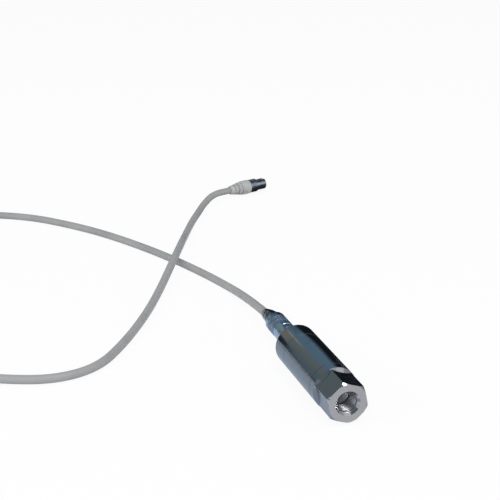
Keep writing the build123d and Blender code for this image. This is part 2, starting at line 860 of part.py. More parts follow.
taper_length = plug_boot_length - plug_grip_length
with BuildPart() as plug_boot:
    turned([
        (0, 0),
        (0, plug_tail_diameter / 2),
        (taper_length, plug_boot_diameter / 2),
        (plug_boot_length, plug_boot_diameter / 2),
        (plug_boot_length, 0),
    ], PLUG)
    rim = plug_boot.edges().filter_by(GeomType.CIRCLE).sort_by(SortBy.RADIUS)[-2:]
    fillet(rim, plug_rim_radius)
    for rib in range(plug_ribs):
        groove_start = (rib + plug_first_rib) * taper_length / (plug_ribs + plug_rib_margin)
        groove_radius = (
            plug_tail_diameter / 2
            + (plug_boot_diameter - plug_tail_diameter) / 2 * groove_start / taper_length
            - plug_rib_depth
        )
        sleeve(
            groove_start, groove_start + plug_rib_width, plug_boot_diameter, groove_radius, PLUG,
            Mode.SUBTRACT,
        )
    sleeve(0, plug_cord_depth, cord_radius + slip, 0, PLUG, Mode.SUBTRACT)
    sleeve(plug_cord_depth, plug_boot_length, shell_bore - plug_boot_lip, 0, PLUG, Mode.SUBTRACT)

with BuildPart() as plug_cord_end:
    sleeve(0, plug_cord_depth, cord_radius, 0, PLUG)

ring_margin = (plug_collar_length - (plug_collar_rings - 1) * plug_ring_pitch - plug_ring_width) / 2
with BuildPart() as plug_collar:
    sleeve(collar_start, shell_start, plug_collar_diameter / 2, shell_root + slip, PLUG)
    rims = plug_collar.edges().filter_by(GeomType.CIRCLE).sort_by(SortBy.RADIUS)[-2:]
    chamfer(rims, plug_ring_depth)
    for ring in range(plug_collar_rings):
        ring_start = collar_start + ring_margin + ring * plug_ring_pitch
        sleeve(
            ring_start, ring_start + plug_ring_width, plug_collar_diameter,
            plug_collar_diameter / 2 - plug_ring_depth, PLUG, Mode.SUBTRACT,
        )

with BuildPart() as plug_shell:
    sleeve(shell_start, shell_end, plug_shell_diameter / 2, shell_bore, PLUG)
    sleeve(collar_start, shell_start, shell_root, shell_bore, PLUG)
    with BuildSketch(along_plug(shell_end)):
        with Locations((plug_shell_diameter / 2, 0)):
            Rectangle(3 * plug_shell_wall, plug_key_width)
    extrude(amount=-plug_key_length, mode=Mode.SUBTRACT)

with BuildPart() as plug_insert:
    sleeve(insert_start, insert_end, shell_bore - slip, 0, PLUG)
    with BuildSketch(along_plug(insert_end)):
        Rectangle(plug_post_height, plug_post_width)
    extrude(amount=plug_pin_reach - 2 * plug_pin_diameter)
    with BuildSketch(along_plug(insert_start)):
        with PolarLocations(plug_pin_circle / 2, plug_pin_count, start_angle=plug_pin_turn):
            Circle(plug_pin_diameter / 2 + slip)
    extrude(amount=plug_insert_length, mode=Mode.SUBTRACT)

pin_start = insert_start - solder_length
with BuildPart() as plug_pins:
    with BuildSketch(along_plug(pin_start)):
        with PolarLocations(plug_pin_circle / 2, plug_pin_count, start_angle=plug_pin_turn):
            Circle(plug_pin_diameter / 2)
    extrude(amount=solder_length + plug_insert_length + plug_pin_reach)
    tips = plug_pins.faces().filter_by(GeomType.PLANE).sort_by(Axis(PLUG.origin, PLUG.x_dir))
    fillet(tips[-plug_pin_count:].edges(), plug_pin_diameter * pin_tip_share)

# Conductors between the jacket's end and the pins' solder ends
with BuildPart() as plug_conductors:
    for index in range(conductor_count):
        pin_angle = radians(plug_pin_turn + index * 360 / plug_pin_count)
        start_angle = radians((index + 0.5) * 360 / conductor_count)
        reach = conductor_offset * sqrt(2)
        start_spot = (reach * cos(start_angle), -reach * sin(start_angle))
        pin_spot = (plug_pin_circle / 2 * cos(pin_angle), -plug_pin_circle / 2 * sin(pin_angle))
        with BuildLine(PLUG) as wire_path:
            FilletPolyline(
                (plug_cord_depth, *start_spot),
                (plug_cord_depth + conductor_lead_in, *start_spot),
                (pin_start - conductor_lead_in, *pin_spot),
                (pin_start, *pin_spot),
                radius=conductor_lead_in,
            )
        with BuildSketch(wire_path.line ^ 0):
            Circle(conductor_diameter / 2)
        sweep(path=wire_path.line)

pieces = {
    "port_fitting": port_fitting,
    "housing_tube": housing_tube,
    "rear_cap": rear_cap,
    "rear_cap_o_ring": rear_cap_o_ring,
    "capsule_header": capsule_header,
    "capsule_o_ring": capsule_o_ring,
    "isolation_diaphragm": isolation_diaphragm,
    "diaphragm_weld_ring": diaphragm_weld_ring,
    "ceramic_spacer": ceramic_spacer,
    "glass_pedestal": glass_pedestal,
    "sensing_die": sensing_die,
    "header_pins": header_pins,
    "pin_glass_seals": pin_glass_seals,
    "fill_ball": fill_ball,
    "capsule_retainer": capsule_retainer,
    "pin_board": pin_board,
    "flexible_link": flexible_link,
    "circuit_board": circuit_board,
    "board_chips": board_chips,
    "board_capacitors": board_capacitors,
    "board_resistors": board_resistors,
    "board_carrier": board_carrier,
    "lead_inlet": lead_inlet,
    "lead_ferrule": lead_ferrule,
    "lead_conductors": lead_conductors,
    "gland_gasket": gland_gasket,
    "gland_body": gland_body,
    "gland_grommet": gland_grommet,
    "gland_washer": gland_washer,
    "gland_nut": gland_nut,
    "strain_boot": strain_boot,
    "sensor_lead": sensor_lead,
    "lead_coil": lead_coil,
    "coil_tie": coil_tie,
    "plug_lead": plug_lead,
    "plug_boot": plug_boot,
    "plug_cord_end": plug_cord_end,
    "plug_collar": plug_collar,
    "plug_shell": plug_shell,
    "plug_insert": plug_insert,
    "plug_pins": plug_pins,
    "plug_conductors": plug_conductors,
}
for name, builder in pieces.items():
    save(name, builder)

coil_length = coil_turns * 2 * pi * coil_mid_radius + 2 * coil_stub
print("sensor lead radii", [round(radius) for radius in corner_radii(sensor_lead_points)])
print("plug lead radii", [round(radius) for radius in corner_radii(plug_lead_points)])
for label, builder, length in (
    ("sensor lead", sensor_lead, sensor_lead_length),
    ("plug lead", plug_lead, plug_lead_length),
):
    share = builder.part.volume / (pi * cord_radius**2 * length)
    print(label, "length", round(length), "volume over section times length", round(share, 4))
print("whole lead", round(sensor_lead_length + plug_lead_length + coil_length))
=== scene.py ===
"""Looks of the pressure sensor with its gland, boot, lead and plug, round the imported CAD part."""

from math import cos, pi, radians, sin, tan

import bpy
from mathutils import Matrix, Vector


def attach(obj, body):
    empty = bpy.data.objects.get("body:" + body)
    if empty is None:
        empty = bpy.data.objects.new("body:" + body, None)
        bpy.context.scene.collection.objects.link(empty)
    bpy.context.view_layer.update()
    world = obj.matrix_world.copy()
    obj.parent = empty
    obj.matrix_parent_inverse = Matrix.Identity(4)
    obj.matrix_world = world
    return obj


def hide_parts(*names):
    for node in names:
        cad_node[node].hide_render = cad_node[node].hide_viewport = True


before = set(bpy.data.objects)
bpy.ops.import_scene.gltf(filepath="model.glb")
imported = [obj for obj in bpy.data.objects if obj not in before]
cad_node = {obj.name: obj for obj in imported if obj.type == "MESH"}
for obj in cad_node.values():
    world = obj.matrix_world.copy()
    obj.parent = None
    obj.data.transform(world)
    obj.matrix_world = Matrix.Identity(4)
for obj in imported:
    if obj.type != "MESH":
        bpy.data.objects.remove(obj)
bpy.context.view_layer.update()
scene = bpy.context.scene

# Places, sizes and turns shared with the part's source, in metres and radians
BODY_AXIS_Z = 0.013
BODY_RADIUS = 0.013
NUT_RADIUS = 0.00665
PORT_RADIUS = 0.005725
PORT_MOUTH_X = 0.068398
THREAD_PITCH = 0.001337
FITTING_SEAM_X = 0.044323
CAP_SEAM_X = 0.000823
GLAND_STEP_X = -0.02768
CORD_DIAMETER = 0.0055
CORD_BED = CORD_DIAMETER / 2
BOOT_TIP = Vector((-0.069053, 0.0, 0.011226))
BOOT_DROOP = radians(12)
COIL_CENTRE = Vector((-0.265, -0.197, 0.0))
PLUG_TAIL = Vector((-0.361656, 0.063914, 0.006))
PLUG_HEADING = radians(110)


# Camera

CAMERA_PLACE = Vector((0.62781, -0.2347, 0.31211))
CAMERA_LOOKING = Vector((-0.899, 0.2881, -0.33))
SENSOR_MM = 36.0
LENS_MM = 88.716
NEAREST_SEEN = 0.01
FARTHEST_SEEN = 60.0


def place_camera():
    lens = bpy.data.cameras.new("photo_view")
    lens.sensor_width = SENSOR_MM
    lens.lens = LENS_MM
    lens.clip_start = NEAREST_SEEN
    lens.clip_end = FARTHEST_SEEN
    camera = bpy.data.objects.new("photo_view", lens)
    scene.collection.objects.link(camera)
    camera.location = CAMERA_PLACE
    camera.rotation_mode = "QUATERNION"
    camera.rotation_quaternion = CAMERA_LOOKING.to_track_quat("-Z", "Y")
    scene.camera = camera


place_camera()


# Lead, from the boot to the plug

LEAD_END_HIDDEN = 0.003
COIL_TURNS = 3
COIL_STEPS = 16
COIL_WIDEST = 0.03375
COIL_LOW = 0.0036

# An outer and an inner turn lie on the floor, the next lies on the gap between them, and the end on that.
# Each row is a move in metres, and the turns at which it starts and ends.
COIL_RISES = (
    (CORD_DIAMETER, 1.5, 1.76),
    (-0.0007, 1.98, 2.12),
    (0.0049, 2.5, 2.76),
    (0.0006, 2.74, 2.86),
)
COIL_WIDENINGS = (
    (-CORD_DIAMETER, 0.76, 1.0),
    (CORD_DIAMETER / 2, 1.72, 1.88),
)


def eased(value, start, end):
    share = min(1.0, max(0.0, (value - start) / (end - start)))
    return share * share * (3 - 2 * share)


def moved_by(moves, turn):
    return sum(size * eased(turn, start, end) for size, start, end in moves)


def coil_points():
    # The spline runs at this share of its points' distance from the middle, so they stand further out
    reach = 0.75 + 0.25 * cos(2 * pi / COIL_STEPS)
    points = []
    for step in range(COIL_TURNS * COIL_STEPS + 1):
        turn = step / COIL_STEPS
        angle = 2 * pi * turn - pi / 2
        radius = (COIL_WIDEST + moved_by(COIL_WIDENINGS, turn)) / reach
        x = COIL_CENTRE.x + radius * cos(angle)
        y = COIL_CENTRE.y + radius * sin(angle)
        points.append((x, y, COIL_LOW + moved_by(COIL_RISES, turn)))
    return points


def lead_points():
    away = Vector((-cos(BOOT_DROOP), 0.0, -sin(BOOT_DROOP)))
    along_plug = Vector((cos(PLUG_HEADING), sin(PLUG_HEADING), 0.0))
    sensor_run = [
        BOOT_TIP - LEAD_END_HIDDEN * away,
        (-0.0847, 0.0009, 0.0089),
        (-0.109, -0.0001, 0.0069),
        (-0.139, -0.0018, 0.0033),
        (-0.176, -0.0118, CORD_BED),
        (-0.218, -0.0275, CORD_BED),
        (-0.2555, -0.045, CORD_BED),
        (-0.292, -0.0653, CORD_BED),
        (-0.324, -0.0893, CORD_BED),
        (-0.348, -0.1123, CORD_BED),
        (-0.364, -0.140, CORD_BED),
        (-0.375, -0.170, CORD_BED),
        (-0.370, -0.201, CORD_BED),
        (-0.348, -0.223, CORD_BED),
        (-0.318, -0.23075, COIL_LOW),
        (-0.291, -0.23075, COIL_LOW),
    ]
    plug_run = [
        (-0.252, -0.2281, 0.0166),
        (-0.236, -0.2285, 0.0132),
        (-0.214, -0.2288, 0.0074),
        (-0.186, -0.229, 0.0034),
        (-0.152, -0.2305, CORD_BED),
        (-0.115, -0.2295, CORD_BED),
        (-0.082, -0.219, CORD_BED),
        (-0.057, -0.199, CORD_BED),
        (-0.040, -0.172, CORD_BED),
        (-0.031, -0.143, CORD_BED),
        (-0.040, -0.116, CORD_BED),
        (-0.070, -0.094, CORD_BED),
        (-0.110, -0.071, CORD_BED),
        (-0.150, -0.0518, CORD_BED),
        (-0.188, -0.0321, 0.0096),
        (-0.226, -0.0157, 0.0096),
        (-0.266, -0.0016, CORD_BED),
        (-0.300, 0.0137, CORD_BED),
        (-0.320, 0.0242, CORD_BED),
        (-0.338, 0.033, CORD_BED),
        (-0.3555, 0.047, 0.006),
        PLUG_TAIL,
        PLUG_TAIL + LEAD_END_HIDDEN * along_plug,
    ]
    return sensor_run + coil_points() + plug_run


def round_line(name, points, diameter):
    line = bpy.data.curves.new(name, "CURVE")
    line.dimensions = "3D"
    spline = line.splines.new("NURBS")
    spline.points.add(len(points) - 1)
    for point, place in zip(spline.points, points):
        point.co = (*place, 1.0)
        point.radius = diameter / 2
    spline.order_u = 3
    spline.use_endpoint_u = True
    spline.resolution_u = 8
    line.bevel_depth = 1.0
    line.bevel_resolution = 6
    line.use_fill_caps = True
    piece = bpy.data.objects.new(name, line)
    scene.collection.objects.link(piece)
    return piece


lead = round_line("lead", lead_points(), CORD_DIAMETER)
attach(lead, "root")
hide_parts("sensor_lead", "lead_coil", "plug_lead")


# Nodes of a material, set down in one line each

def put(tree, kind, **settings):
    made = tree.nodes.new(kind)
    for name, value in settings.items():
        setattr(made, name, value)
    return made


def feed(tree, socket, value):
    if isinstance(value, bpy.types.NodeSocket):
        tree.links.new(value, socket)
    else:
        socket.default_value = value


def figure(tree, operation, first, second=0.0, third=0.0, clamp=False):
    made = put(tree, "ShaderNodeMath", operation=operation, use_clamp=clamp)
    for socket, value in zip(made.inputs, (first, second, third)):
        feed(tree, socket, value)
    return made.outputs["Value"]


def rescale(tree, value, given_range, wanted_range=(0.0, 1.0)):
    made = put(tree, "ShaderNodeMapRange", interpolation_type="SMOOTHSTEP")
    for socket, given in zip(made.inputs, (value, *given_range, *wanted_range)):
        feed(tree, socket, given)
    return made.outputs["Result"]


def swing(tree, value, width):
    return figure(tree, "MULTIPLY_ADD", value, width, -width / 2)


def plus_share(tree, total, value, share, clamp=False):
    return figure(tree, "MULTIPLY_ADD", value, share, total, clamp)


def blended(tree, share, first, second):
    made = put(tree, "ShaderNodeMix", data_type="RGBA")
    feed(tree, made.inputs["Factor"], share)
    feed(tree, made.inputs["A"], first)
    feed(tree, made.inputs["B"], second)
    return made.outputs["Result"]


def blended_number(tree, share, first, second):
    made = put(tree, "ShaderNodeMix", data_type="FLOAT")
    feed(tree, made.inputs[0], share)
    feed(tree, made.inputs[2], first)
    feed(tree, made.inputs[3], second)
    return made.outputs[0]


def noise(tree, place, scale, detail=2.0, roughness=0.5):
    made = put(tree, "ShaderNodeTexNoise")
    feed(tree, made.inputs["Vector"], place)
    feed(tree, made.inputs["Scale"], scale)
    made.inputs["Detail"].default_value = detail
    made.inputs["Roughness"].default_value = roughness
    return made.outputs["Fac"]


def stretched(tree, place, factors):
    made = put(tree, "ShaderNodeVectorMath", operation="MULTIPLY")
    feed(tree, made.inputs[0], place)
    made.inputs[1].default_value = factors
    return made.outputs["Vector"]


def surface_place(tree):
    return put(tree, "ShaderNodeTexCoord").outputs["Object"]


# Effects that several materials share

PORT_MARGIN = 0.0003
FACING_ALONG = 0.8


def new_effect(name, inputs, outputs):
    effect = bpy.data.node_groups.new(name, "ShaderNodeTree")
    for label, value in inputs.items():
        socket = effect.interface.new_socket(
            name=label, in_out="INPUT", socket_type="NodeSocketFloat"
        )
        socket.default_value = value
    for label in outputs:
        effect.interface.new_socket(
            name=label, in_out="OUTPUT", socket_type="NodeSocketFloat"
        )
    given = effect.nodes.new("NodeGroupInput").outputs
    wanted = effect.nodes.new("NodeGroupOutput").inputs
    return effect, given, wanted


def build_turned_rings():
    effect, given, wanted = new_effect(
        "turned_rings", {"Rings per metre": 4000.0}, ["Height", "Band", "End face", "Bore"]
    )
    split = put(effect, "ShaderNodeSeparateXYZ")
    effect.links.new(surface_place(effect), split.inputs[0])
    x, y, z = split.outputs
    above = figure(effect, "SUBTRACT", z, BODY_AXIS_Z)
    across = figure(effect, "POWER", y, 2.0)
    up = figure(effect, "POWER", above, 2.0)
    from_axis = figure(effect, "SQRT", figure(effect, "ADD", across, up))
    facing = put(effect, "ShaderNodeSeparateXYZ")
    surface = put(effect, "ShaderNodeNewGeometry")
    effect.links.new(surface.outputs["True Normal"], facing.inputs[0])
    along = figure(effect, "ABSOLUTE", facing.outputs[0])
    end_face = figure(effect, "GREATER_THAN", along, FACING_ALONG)
    effect.links.new(end_face, wanted["End face"])
    inside = figure(effect, "LESS_THAN", from_axis, PORT_RADIUS + PORT_MARGIN)
    effect.links.new(inside, wanted["Bore"])
    ring_place = blended_number(effect, end_face, x, from_axis)
    for label, share, detail in (("Height", 1.0, 3.0), ("Band", 0.07, 2.0)):
        marks = put(effect, "ShaderNodeTexNoise", noise_dimensions="1D")
        effect.links.new(ring_place, marks.inputs["W"])
        scale = figure(effect, "MULTIPLY", given["Rings per metre"], share)
        effect.links.new(scale, marks.inputs["Scale"])
        marks.inputs["Detail"].default_value = detail
        effect.links.new(marks.outputs["Fac"], wanted[label])
    return effect


def build_fine_scratches():
    effect, given, wanted = new_effect(
        "fine_scratches", {"Scale": 120.0, "Width": 0.006}, ["Scratch"]
    )
    place = surface_place(effect)
    lines = []
    for factors in ((0.35, 2.6, 2.4), (1.9, 0.5, 0.45)):
        wander = noise(effect, stretched(effect, place, factors), given["Scale"], detail=1.0)
        off = figure(effect, "ABSOLUTE", figure(effect, "SUBTRACT", wander, 0.5))
        lines.append(rescale(effect, off, (0.0, given["Width"]), (1.0, 0.0)))
    both = figure(effect, "MAXIMUM", *lines)
    patches = rescale(effect, noise(effect, place, scale=90.0, detail=1.0), (0.5, 0.62))
    effect.links.new(figure(effect, "MULTIPLY", both, patches), wanted["Scratch"])
    return effect


def build_handling_marks():
    effect, given, wanted = new_effect(
        "handling_marks", {"Scale": 55.0}, ["Smudge", "Mottle"]
    )
    place = surface_place(effect)
    finer = figure(effect, "MULTIPLY", given["Scale"], 7.0)
    wide = noise(effect, place, given["Scale"], detail=4.0, roughness=0.6)
    small = noise(effect, place, finer, detail=3.0, roughness=0.6)
    effect.links.new(rescale(effect, wide, (0.42, 0.68)), wanted["Smudge"])
    effect.links.new(small, wanted["Mottle"])
    return effect


def build_edge_wear():
    effect, given, wanted = new_effect(
        "edge_wear", {"Edge width": 0.00025, "Spread": 0.5}, ["Wear"]
    )
    rounded = put(effect, "ShaderNodeBevel", samples=6)
    effect.links.new(given["Edge width"], rounded.inputs["Radius"])
    surface = put(effect, "ShaderNodeNewGeometry")
    turn = put(effect, "ShaderNodeVectorMath", operation="DOT_PRODUCT")
    effect.links.new(rounded.outputs["Normal"], turn.inputs[0])
    effect.links.new(surface.outputs["Normal"], turn.inputs[1])
    bent = figure(effect, "SUBTRACT", 1.0, turn.outputs["Value"])
    edge = rescale(effect, bent, (0.01, 0.16))
    broken = noise(effect, surface_place(effect), scale=900.0, detail=3.0, roughness=0.6)
    kept = rescale(effect, broken, (0.3, given["Spread"]))
    effect.links.new(figure(effect, "MULTIPLY", edge, kept), wanted["Wear"])
    return effect


# A mask of lines at the body's two seams and at the gland's step, made darker and rougher. The darkening
# at the gland's step is painted shade.
def build_seam_lines_and_painted_shade():
    effect, given, wanted = new_effect("seam_lines_and_painted_shade", {"Half width": 0.00021}, ["Dirt"])
    split = put(effect, "ShaderNodeSeparateXYZ")
    effect.links.new(surface_place(effect), split.inputs[0])
    lines = []
    for seam in (FITTING_SEAM_X, CAP_SEAM_X, GLAND_STEP_X):
        off = figure(effect, "ABSOLUTE", figure(effect, "SUBTRACT", split.outputs[0], seam))
        share = figure(effect, "DIVIDE", off, given["Half width"])
        lines.append(rescale(effect, share, (0.6, 1.0), (1.0, 0.0)))
    broken = noise(effect, surface_place(effect), scale=420.0, detail=3.0, roughness=0.6)
    kept = rescale(effect, broken, (0.2, 0.6), (0.6, 1.0))
    line = figure(effect, "MAXIMUM", *lines)
    effect.links.new(figure(effect, "MULTIPLY", line, kept), wanted["Dirt"])
    return effect


def build_moulded_grain():
    effect, given, wanted = new_effect(
        "moulded_grain", {"Grain scale": 3200.0}, ["Height", "Mottle"]
    )
    place = surface_place(effect)
    wider = figure(effect, "MULTIPLY", given["Grain scale"], 0.05)
    grain = noise(effect, place, given["Grain scale"], detail=2.0, roughness=0.6)
    waves = noise(effect, place, wider, detail=2.0)
    height = plus_share(effect, grain, waves, share=2.5)
    effect.links.new(height, wanted["Height"])
    effect.links.new(waves, wanted["Mottle"])
    return effect


def build_settled_dust():
    effect, given, wanted = new_effect("settled_dust", {"Amount": 0.3}, ["Dust"])
    facing = put(effect, "ShaderNodeSeparateXYZ")
    surface = put(effect, "ShaderNodeNewGeometry")
    effect.links.new(surface.outputs["Normal"], facing.inputs[0])
    upward = rescale(effect, facing.outputs[2], (0.2, 0.95))
    specks = noise(effect, surface_place(effect), scale=2300.0, detail=3.0, roughness=0.7)
    flecks = rescale(effect, specks, (0.5, 0.72))
    cover = figure(effect, "MULTIPLY", upward, flecks)
    effect.links.new(figure(effect, "MULTIPLY", cover, given["Amount"]), wanted["Dust"])
    return effect


turned_rings = build_turned_rings()
fine_scratches = build_fine_scratches()
handling_marks = build_handling_marks()
edge_wear = build_edge_wear()
seam_lines_and_painted_shade = build_seam_lines_and_painted_shade()
moulded_grain = build_moulded_grain()
settled_dust = build_settled_dust()


def use_effect(tree, effect, **given):
    made = put(tree, "ShaderNodeGroup", node_tree=effect)
    for label, value in given.items():
        feed(tree, made.inputs[label.replace("_", " ").capitalize()], value)
    return made.outputs


# Materials

# Grey of the darker seam lines and of the painted shade at the gland's step
SEAM_LINE_AND_SHADE_GREY = (0.1, 0.105, 0.11, 1.0)
DUST = (0.5, 0.49, 0.46, 1.0)
JACKET_DUST = (0.55, 0.54, 0.5, 1.0)
SMUDGE_FILM = 0.3
COAT_ROUGHNESS = 0.12


def toned(colour, factor, lift=0.0):
    return tuple(min(1.0, factor * part + lift) for part in colour[:3]) + (1.0,)


def new_material(name, metallic, roughness):
    material = bpy.data.materials.new(name)
    material.use_nodes = True
    tree = material.node_tree
    shader = tree.nodes["Principled BSDF"]
    shader.inputs["Metallic"].default_value = metallic
    shader.inputs["Roughness"].default_value = roughness
    return material, tree, shader


def set_bump(tree, shader, height, strength, distance):
    bump = put(tree, "ShaderNodeBump")
    bump.inputs["Strength"].default_value = strength
    bump.inputs["Distance"].default_value = distance
    tree.links.new(height, bump.inputs["Height"])
    tree.links.new(bump.outputs["Normal"], shader.inputs["Normal"])


def turned_metal(name, colour, worn, smooth, dull, rings, depth, wear=0.5, faced=0.7):
    material, tree, shader = new_material(name, metallic=1.0, roughness=smooth)
    marks = use_effect(tree, turned_rings, rings_per_metre=rings)
    handled = use_effect(tree, handling_marks, scale=55.0)
    scratch = use_effect(tree, fine_scratches, scale=140.0)["Scratch"]
    edge = use_effect(tree, edge_wear, spread=wear)["Wear"]
    darkening = use_effect(tree, seam_lines_and_painted_shade)["Dirt"]
    shade = swing(tree, handled["Mottle"], width=0.22)
    film = figure(tree, "MULTIPLY", handled["Smudge"], SMUDGE_FILM)
    tint = figure(tree, "ADD", film, shade, clamp=True)
    base = blended(tree, tint, colour, toned(colour, factor=0.86))
    rubbed = blended(tree, edge, base, worn)
    # Darkens the seam lines and paints shade at the gland's step
    darkened = blended(tree, darkening, rubbed, SEAM_LINE_AND_SHADE_GREY)
    tree.links.new(darkened, shader.inputs["Base Color"])
    used = swing(tree, marks["Band"], width=0.3)
    used = plus_share(tree, used, handled["Smudge"], share=0.55)
    used = plus_share(tree, used, scratch, share=0.5)
    used = plus_share(tree, used, darkening, share=1.0)
    used = plus_share(tree, used, marks["Bore"], share=0.9)
    used = plus_share(tree, used, marks["End face"], share=faced, clamp=True)
    tree.links.new(blended_number(tree, used, smooth, dull), shader.inputs["Roughness"])
    cut = plus_share(tree, marks["Height"], scratch, share=-0.6)
    set_bump(tree, shader, cut, strength=0.35, distance=depth)
    return material


def moulded(name, colour, roughness, grain, depth, dust=0.2, coat=0.0):
    material, tree, shader = new_material(name, metallic=0.0, roughness=roughness)
    skin = use_effect(tree, moulded_grain, grain_scale=grain)
    handled = use_effect(tree, handling_marks, scale=70.0)
    fleck = use_effect(tree, settled_dust, amount=dust)["Dust"]
    shade = rescale(tree, skin["Mottle"], (0.3, 0.7))
    base = blended(tree, shade, colour, toned(colour, factor=1.18, lift=0.004))
    dusty = blended(tree, fleck, base, DUST)
    tree.links.new(dusty, shader.inputs["Base Color"])
    wiped = rescale(tree, handled["Smudge"], (0.0, 1.0), (0.85 * roughness, 1.2 * roughness))
    tree.links.new(wiped, shader.inputs["Roughness"])
    set_bump(tree, shader, skin["Height"], strength=0.3, distance=depth)
    if coat:
        shader.inputs["Coat Weight"].default_value = coat
        shader.inputs["Coat Roughness"].default_value = COAT_ROUGHNESS
    return material


def jacket(name, colour):
    material, tree, shader = new_material(name, metallic=0.0, roughness=0.42)
    skin = use_effect(tree, moulded_grain, grain_scale=1500.0)
    handled = use_effect(tree, handling_marks, scale=40.0)
    fleck = use_effect(tree, settled_dust, amount=0.12)["Dust"]
    base = blended(tree, handled["Smudge"], colour, toned(colour, factor=0.9))
    dusty = blended(tree, fleck, base, JACKET_DUST)
    tree.links.new(dusty, shader.inputs["Base Color"])
    wiped = rescale(tree, handled["Mottle"], (0.3, 0.7), (0.36, 0.5))
    tree.links.new(wiped, shader.inputs["Roughness"])
    set_bump(tree, shader, skin["Height"], strength=0.25, distance=0.00004)
    return material


def strap_cloth(name, colour, thread):
    material, tree, shader = new_material(name, metallic=0.0, roughness=0.9)
    place = surface_place(tree)
    weave = []
    for axis in ("X", "Y", "Z"):
        wave = put(tree, "ShaderNodeTexWave", bands_direction=axis)
        tree.links.new(place, wave.inputs["Vector"])
        wave.inputs["Scale"].default_value = 420.0
        wave.inputs["Distortion"].default_value = 2.0
        weave.append(wave.outputs["Fac"])
    woven = figure(tree, "MAXIMUM", figure(tree, "MULTIPLY", weave[0], weave[1]), weave[2])
    fuzz = noise(tree, place, scale=5200.0, detail=3.0, roughness=0.7)
    height = plus_share(tree, woven, fuzz, share=0.7)
    tree.links.new(blended(tree, woven, colour, thread), shader.inputs["Base Color"])
    shader.inputs["Sheen Weight"].default_value = 0.4
    set_bump(tree, shader, height, strength=0.7, distance=0.0002)
    return material


def fused_glass(name, colour):
    material, tree, shader = new_material(name, metallic=0.0, roughness=0.08)
    handled = use_effect(tree, handling_marks, scale=160.0)
    base = blended(tree, handled["Smudge"], colour, toned(colour, factor=0.7))
    tree.links.new(base, shader.inputs["Base Color"])
    shader.inputs["Transmission Weight"].default_value = 0.6
    shader.inputs["IOR"].default_value = 1.5
    set_bump(tree, shader, handled["Mottle"], strength=0.2, distance=0.00002)
    return material


STEEL = (0.36, 0.37, 0.395, 1.0)
STEEL_WORN = (0.5, 0.51, 0.53, 1.0)
NICKEL = (0.53, 0.585, 0.66, 1.0)
NICKEL_BLUED = (0.57, 0.68, 0.83, 1.0)
NICKEL_WORN = (0.75, 0.76, 0.78, 1.0)

turned_looks = {
    "polished_steel": dict(
        colour=STEEL, worn=STEEL_WORN, smooth=0.1, dull=0.34, rings=5200.0, depth=0.000006, wear=0.6
    ),
    "capsule_steel": dict(
        colour=(0.4, 0.41, 0.42, 1.0), worn=STEEL_WORN, smooth=0.25, dull=0.4, rings=3800.0, depth=0.00002
    ),
    "diaphragm_foil": dict(
        colour=(0.5, 0.5, 0.5, 1.0), worn=STEEL_WORN, smooth=0.2, dull=0.34, rings=2400.0, depth=0.00001
    ),
    "gland_plate": dict(
        colour=NICKEL_BLUED, worn=NICKEL_WORN, smooth=0.1, dull=0.32, rings=2600.0, depth=0.000015,
        wear=0.42, faced=0.0,
    ),
    "plug_plate": dict(
        colour=NICKEL, worn=NICKEL_WORN, smooth=0.2, dull=0.38, rings=3400.0, depth=0.00002, wear=0.42
    ),
    "gold_plate": dict(
        colour=(0.83, 0.6, 0.24, 1.0), worn=(0.95, 0.8, 0.5, 1.0), smooth=0.22, dull=0.4, rings=3000.0,
        depth=0.00001,
    ),
    "tinned_copper": dict(
        colour=(0.6, 0.53, 0.42, 1.0), worn=(0.8, 0.74, 0.62, 1.0), smooth=0.3, dull=0.5, rings=2400.0,
        depth=0.00002,
    ),
}
moulded_looks = {
    "boot_rubber": dict(
        colour=(0.012, 0.013, 0.016, 1.0), roughness=0.2, grain=2600.0, depth=0.00002, dust=0.1, coat=0.8
    ),
    "plug_rubber": dict(
        colour=(0.44, 0.44, 0.44, 1.0), roughness=0.45, grain=2600.0, depth=0.00003, dust=0.15
    ),
    "o_ring_rubber": dict(colour=(0.02, 0.02, 0.02, 1.0), roughness=0.6, grain=3800.0, depth=0.00002),
    "gasket_rubber": dict(
        colour=(0.035, 0.035, 0.035, 1.0), roughness=0.7, grain=3000.0, depth=0.00003
    ),
    "ceramic": dict(
        colour=(0.84, 0.82, 0.77, 1.0), roughness=0.5, grain=5200.0, depth=0.00001, dust=0.05
    ),
    "silicon": dict(
        colour=(0.13, 0.14, 0.19, 1.0), roughness=0.12, grain=900.0, depth=0.000005, dust=0.05, coat=0.6
    ),
    "board_laminate": dict(
        colour=(0.03, 0.14, 0.06, 1.0), roughness=0.35, grain=4200.0, depth=0.00001, dust=0.1, coat=0.3
    ),
    "link_film": dict(
        colour=(0.5, 0.2, 0.03, 1.0), roughness=0.25, grain=2000.0, depth=0.00001, dust=0.1, coat=0.3
    ),
    "chip_resin": dict(
        colour=(0.02, 0.02, 0.022, 1.0), roughness=0.55, grain=6000.0, depth=0.00001, dust=0.1
    ),
    "capacitor_body": dict(
        colour=(0.55, 0.33, 0.07, 1.0), roughness=0.4, grain=4000.0, depth=0.00001, dust=0.1
    ),
    "resistor_body": dict(
        colour=(0.03, 0.03, 0.03, 1.0), roughness=0.3, grain=4000.0, depth=0.00001, dust=0.1
    ),
    "carrier_plastic": dict(
        colour=(0.62, 0.6, 0.54, 1.0), roughness=0.5, grain=3600.0, depth=0.00002, dust=0.1
    ),
    "insert_plastic": dict(
        colour=(0.03, 0.03, 0.03, 1.0), roughness=0.45, grain=3600.0, depth=0.00002, dust=0.1
    ),
    "wire_insulation": dict(
        colour=(0.4, 0.02, 0.015, 1.0), roughness=0.4, grain=3000.0, depth=0.00002, dust=0.1
    ),
}
finishes = {name: turned_metal(name, **look) for name, look in turned_looks.items()}
finishes.update({name: moulded(name, **look) for name, look in moulded_looks.items()})
finishes["lead_jacket"] = jacket("lead_jacket", (0.39, 0.39, 0.39, 1.0))
